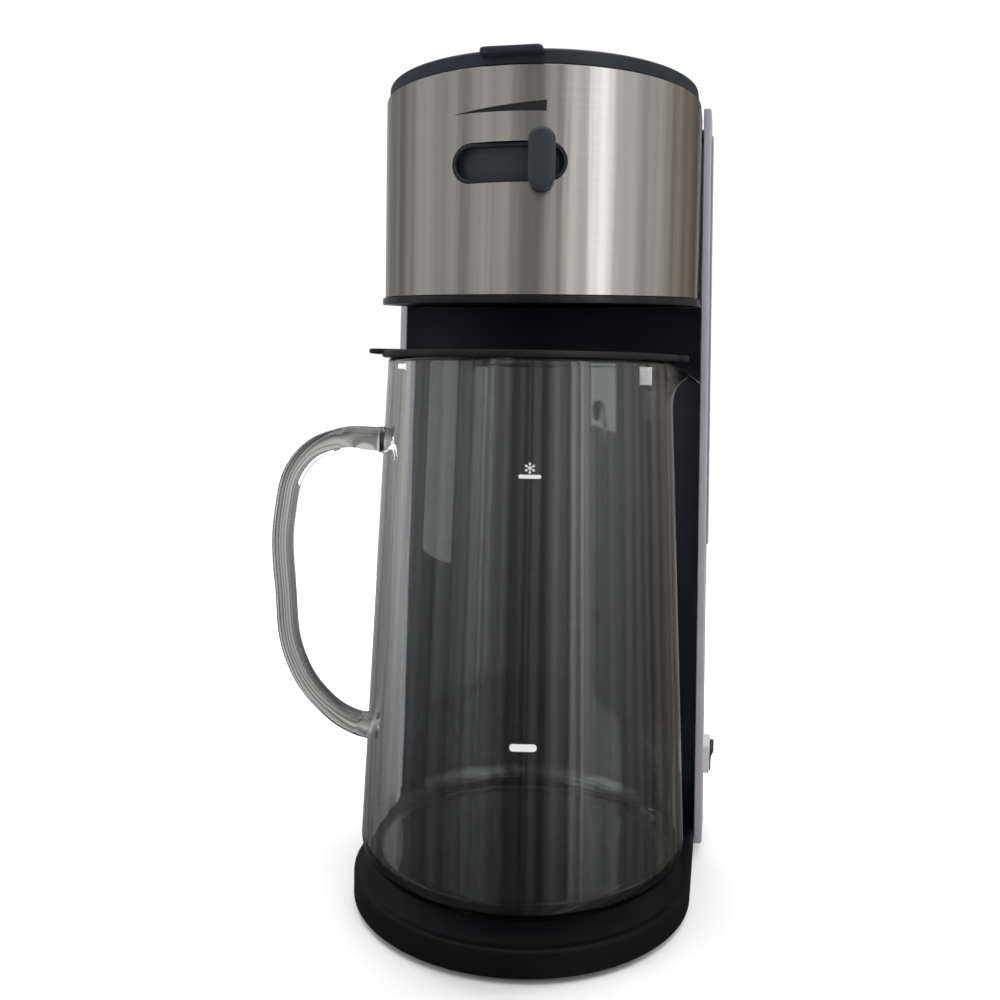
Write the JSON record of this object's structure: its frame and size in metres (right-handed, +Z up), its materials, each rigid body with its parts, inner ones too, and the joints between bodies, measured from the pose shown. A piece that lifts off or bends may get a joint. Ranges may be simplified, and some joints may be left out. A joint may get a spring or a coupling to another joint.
{
  "type": "iced tea maker",
  "caption": "Electric iced tea maker: a round base, a tower with a water gauge, a steel-wrapped brewing head with a strength slider and a hinged lid, and a lidded glass pitcher under it.",
  "frame": {"origin": "bottom centre of the bounding box, on the plane the feet stand on", "axes": "+Z up, -Y towards the front with the selector slot, +X towards the side with the water gauge and switch"},
  "size_m": [0.2198, 0.2672, 0.4025],
  "materials": {
    "black_plastic": "satin black moulding",
    "slate_plastic": "satin slate-grey moulding",
    "silver_plastic": "silver-grey metallic moulding",
    "clear_plastic": "clear moulded strip",
    "brushed_steel": "fine vertical sheen on thin sheet",
    "plain_steel": "plain steel",
    "cast_aluminium": "as cast",
    "white_plastic": "natural white moulding",
    "black_rubber": "soft rubber",
    "pale_silicone": "translucent silicone",
    "clear_glass": "clear glass"
  },
  "bodies": {
    "machine": {"base_housing": "black_plastic", "base_plate": "black_plastic", "foot_front_left": "black_rubber", "foot_front_right": "black_rubber", "foot_rear_left": "black_rubber", "foot_rear_right": "black_rubber", "screw_front_left": "plain_steel", "screw_front_right": "plain_steel", "screw_mid_left": "plain_steel", "screw_mid_right": "plain_steel", "screw_rear_left": "plain_steel", "screw_rear_right": "plain_steel", "tower_front": "black_plastic", "rear_shell": "silver_plastic", "gauge_window": "clear_plastic", "reservoir": "white_plastic", "head_housing": "black_plastic", "steel_band": "brushed_steel", "selector_bezel": "slate_plastic", "brew_basket": "black_plastic", "filter_frame": "slate_plastic", "filter_mesh": "plain_steel", "rear_deck": "slate_plastic", "lid_hinge_pin": "plain_steel", "flow_heater": "cast_aluminium", "heater_bracket": "plain_steel", "thermostat": "black_plastic", "thermal_fuse": "plain_steel", "check_valve": "white_plastic", "tank_grommet": "black_rubber", "feed_hose_upper": "pale_silicone", "feed_hose_lower": "pale_silicone", "riser_tube": "white_plastic", "riser_hose": "pale_silicone", "switch_frame": "white_plastic", "cord_gland": "black_rubber"},
    "lid": {"top_lid": "slate_plastic", "lid_liner": "slate_plastic", "shower_plate": "slate_plastic"},
    "selector": {"strength_knob": "slate_plastic", "selector_carriage": "slate_plastic", "bypass_shutter": "white_plastic"},
    "rocker": {"power_rocker": "slate_plastic"},
    "pitcher": {"pitcher_body": "clear_glass", "pitcher_handle": "clear_glass"},
    "pitcher_cover": {"pitcher_lid": "black_plastic"}
  },
  "joints": [
    {"name": "lid_hinge", "type": "hinge", "parent": "machine", "child": "lid", "pos_m": [0.01576, 0.09685, 0.399], "axis": [-1, 0, 0], "range_deg": [0, 100]},
    {"name": "strength_slide", "type": "hinge", "parent": "machine", "child": "selector", "pos_m": [0.01576, -0.02515, 0.3532], "axis": [0, 0, 1], "range_deg": [-23.5, 1.6]},
    {"name": "power_rocker", "type": "hinge", "parent": "machine", "child": "rocker", "pos_m": [0.10431, 0.02085, 0.0515], "axis": [0, -1, 0], "range_deg": [0, 16]},
    {"name": "pitcher_slide", "type": "slide", "parent": "machine", "child": "pitcher", "axis": [0, -1, 0], "range_m": [0, 0.19]},
    {"name": "pitcher_lid_lift", "type": "slide", "parent": "pitcher", "child": "pitcher_cover", "axis": [0, 0, 1], "range_m": [0, 0.015]}
  ]
}
